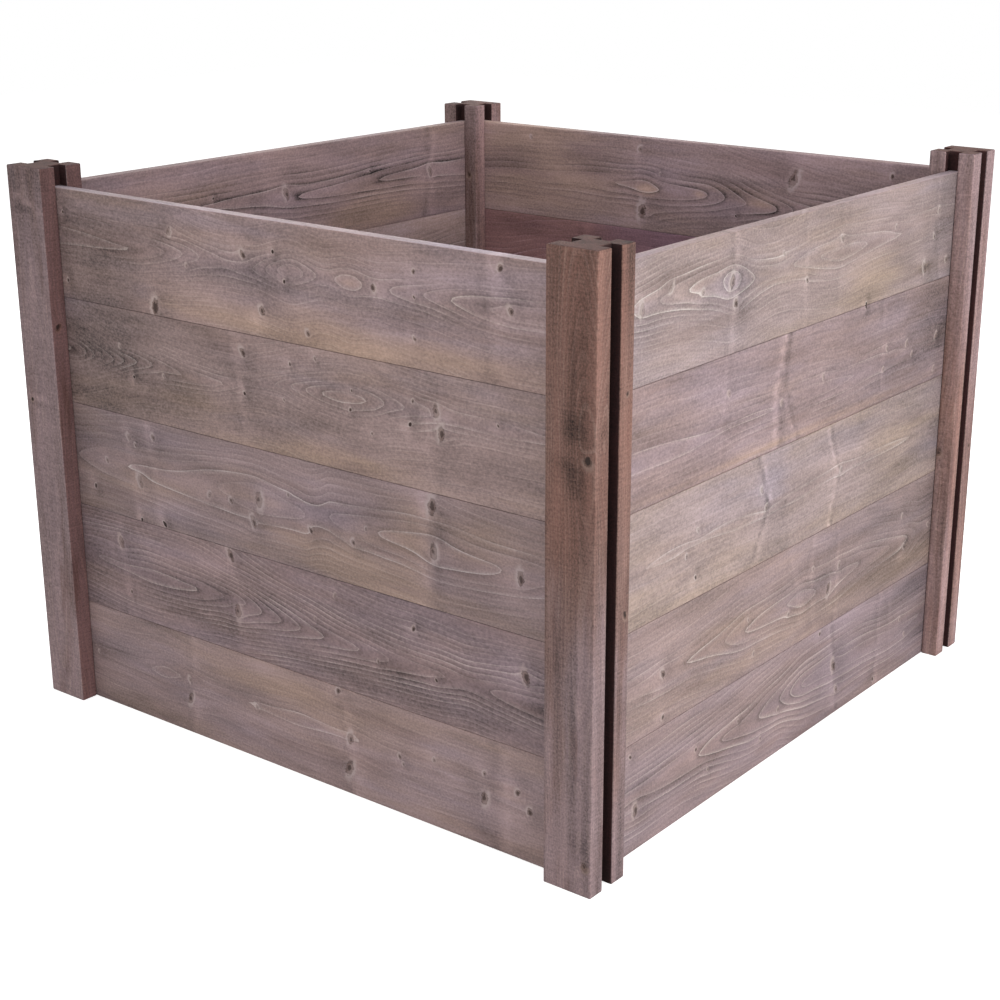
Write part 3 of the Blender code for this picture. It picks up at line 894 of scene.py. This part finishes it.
postFigures = {
    "post_front_right": {
        "paintedSideLight": (1.06, 1.06, 1.06), "tone": -0.14,
        "pith": [(0, 26, -12), (160, 14, -4), (450, 22, -10), (560, 26, -20), (778, 8, 2)],
        "shades": [(0, 0.7, 0.8, 0.1), (250, 0.5, 0.1, 0.0), (450, -0.2, -0.25, 0.0),
                   (700, -0.5, -0.3, 0.35), (778, -0.6, -0.3, 0.2)],
        "knots": [(24, -35, 543, 11, 0.75), (35, 27, 345, 8, 0.7), (35, 24, 610, 5, 0.6),
                  (26, -35, 40, 9, 0.5)],
        "patches": [(3, -35, 578, 15, 17, -1.5), (4, -35, 524, 13, 14, -1.4),
                    (-12, -35, 536, 10, 8, -1.0), (8, -35, 505, 8, 9, -1.0),
                    (35, -20, 575, 10, 14, -0.5), (14, -35, 66, 14, 17, -1.1),
                    (27, -35, 52, 8, 26, -0.7),
                    (35, 24, 770, 17, 110, -1.4), (35, 24, 60, 17, 120, -0.5),
                    (-28, -35, 650, 7, 130, 0.5)],
    },
    "post_front_left": {
        "paintedSideLight": (0.59, 0.44, 0.42), "tone": -0.09, "stripes": 0.12,
        "pith": [(0, -6, 4), (300, 4, -8), (778, -2, 6)],
        "shades": [(0, 1.0, 0.8, 0.8), (250, 0.9, 0.1, 0.1), (640, 0.7, 0.1, 0.0),
                   (778, 0.4, -0.3, -0.2)],
        "knots": [(-22, -35, 450, 5, 0.9), (35, -25, 560, 8, 0.7), (-35, 20, 300, 7, 0.6)],
        "patches": [(-4, -35, 454, 20, 4, 1.3), (-8, -35, 445, 18, 4, -0.8),
                    (-16, -35, 738, 14, 4, 1.6), (8, -35, 729, 12, 4, 1.8), (24, -35, 716, 8, 6, 1.2),
                    (-8, -35, 722, 20, 6, -1.2), (0, -35, 775, 60, 60, -0.5),
                    (0, -35, 600, 26, 5, 0.4)],
    },
    "post_back_right": {
        "paintedSideLight": (1.15, 1.13, 1.15), "tone": 0.04,
        "pith": [(0, 8, 6), (400, -6, 2), (778, 4, -8)],
        "shades": [(0, 0.3, 0.8, 0.8), (400, 0.0, 0.2, 0.3), (778, 0.6, 0.0, 0.0)],
        "knots": [(14, -35, 330, 10, 0.6), (35, 26, 330, 6, 0.6), (-20, -35, 690, 6, 0.5)],
        "patches": [(10, -35, 330, 30, 14, -0.7)],
    },
    "post_back_left": {
        "paintedSideLight": (1.16, 1.08, 1.08), "tone": 0.0,
        "pith": [(0, -10, -8), (778, 6, 10)],
        "shades": [(0, 0.5, 0.3, 0.3), (778, 0.3, 0.0, 0.0)],
        "knots": [(20, -35, 660, 9, 0.6), (35, -22, 240, 8, 0.6)],
        "patches": [],
    },
}


def addPost(number, node, stock, material):
    figure = {**stock, **postFigures[node]}
    chance = np.random.default_rng(900 + number)
    out = stock["middle"] * mm
    centre = Vector((out if "right" in node else -out, out if "back" in node else -out, 0))
    mesh = cutGrid(node, centre, [(0, stock["grid"]), (1, stock["grid"]), (2, stock["grid"])])
    count = len(mesh.vertices)
    spots = np.empty(count * 3)
    mesh.vertices.foreach_get("co", spots)
    spots = spots.reshape(-1, 3)
    x, y, z = (spots / mm).T

    # rings round the tree's middle, which swell out round each knot
    stops, pithX, pithY = np.array(figure["pith"]).T
    away = np.hypot(x - np.interp(z, stops, pithX), y - np.interp(z, stops, pithY))
    for kx, ky, kz, size, _ in figure["knots"]:
        gap = np.sqrt((x - kx) ** 2 + (y - ky) ** 2 + ((z - kz) / 1.8) ** 2)
        away = away + 0.5 * size * np.exp(-(gap / (1.2 * size)) ** 2)
    waver = figure["ringWaver"] * ripple(chance, x + y, z, figure["waverSpots"])
    phase = away / figure["ringWidth"] + waver + 20

    # grey and warm, and light and dark: shades up the post, stripes along it and patches
    heights, greys, lights, paintedSideLights = np.array(figure["shades"]).T
    inside = np.maximum(abs(x), abs(y)) < stock["grooveInside"]
    # inside the grooves a warm hue of painted shade
    grey = np.where(inside, stock["grooveShadeHue"], np.interp(z, heights, greys))
    # on the face towards +x the light or dark up the post is painted light and shade
    onSide = x > stock["sideFrom"]
    band = np.where(onSide, np.interp(z, heights, paintedSideLights), np.interp(z, heights, lights))
    stripes = ripple(chance, x + y, z, figure["stripeSpots"], 8)
    stripes += 0.6 * ripple(chance, x + y, z, figure["fineStripeSpots"], 8)
    band += figure["stripes"] * stripes
    for px, py, pz, wide, tall, strength in figure["patches"]:
        gap = ((x - px) ** 2 + (y - py) ** 2) / wide ** 2 + ((z - pz) / tall) ** 2
        band += strength * np.exp(-gap)
    figureTone = 1 + figure["toneUneven"] * ripple(chance, x + y, z, figure["toneSpots"])
    offset = chance.uniform(-4, 4, 3)
    turned = np.stack([z, x, y], axis=1) * mm  # the grain runs up the post
    setField(mesh, "grainPlace", "FLOAT_VECTOR", "POINT", turned + offset)
    setField(mesh, "ringPhase", "FLOAT", "POINT", phase)
    setField(mesh, "ringSlope", "FLOAT", "POINT", np.full(count, 1 / figure["ringWidth"]))
    setField(mesh, "tones", "FLOAT_VECTOR", "POINT", np.stack([band, figureTone, grey], axis=1))

    def faceTone(middles, normals):
        return (1 + figure["tone"]) * toneFaces(len(middles), [
            # painted light and shade on the face towards +x
            (normals[:, 0] > facing, figure["paintedSideLight"]),
            # painted shade in the grooves
            (np.max(abs(middles[:, :2]), axis=1) < figure["grooveInside"], figure["paintedGrooveShade"]),
            (abs(normals[:, 2]) > facing, figure["endTint"])])

    setFaces(mesh, figure["knots"], False, offset, faceTone)
    mesh.transform(Matrix.Translation(centre))
    name = "".join(part.capitalize() for part in node.split("_"))
    addPiece("sawn" + name, node, mesh, material, "posts")


def main():
    print("camera, floor and light")
    addCamera(cameraView)
    addStudio(lighting)
    addBoards(makeSoftwood("stainedPlanedSpruce", boardFinish))
    print("posts")
    postWood = makeSoftwood("stainedSawnSpruce", postFinish)
    for number, node in enumerate(postFigures):
        addPost(number, node, postStock, postWood)


main()
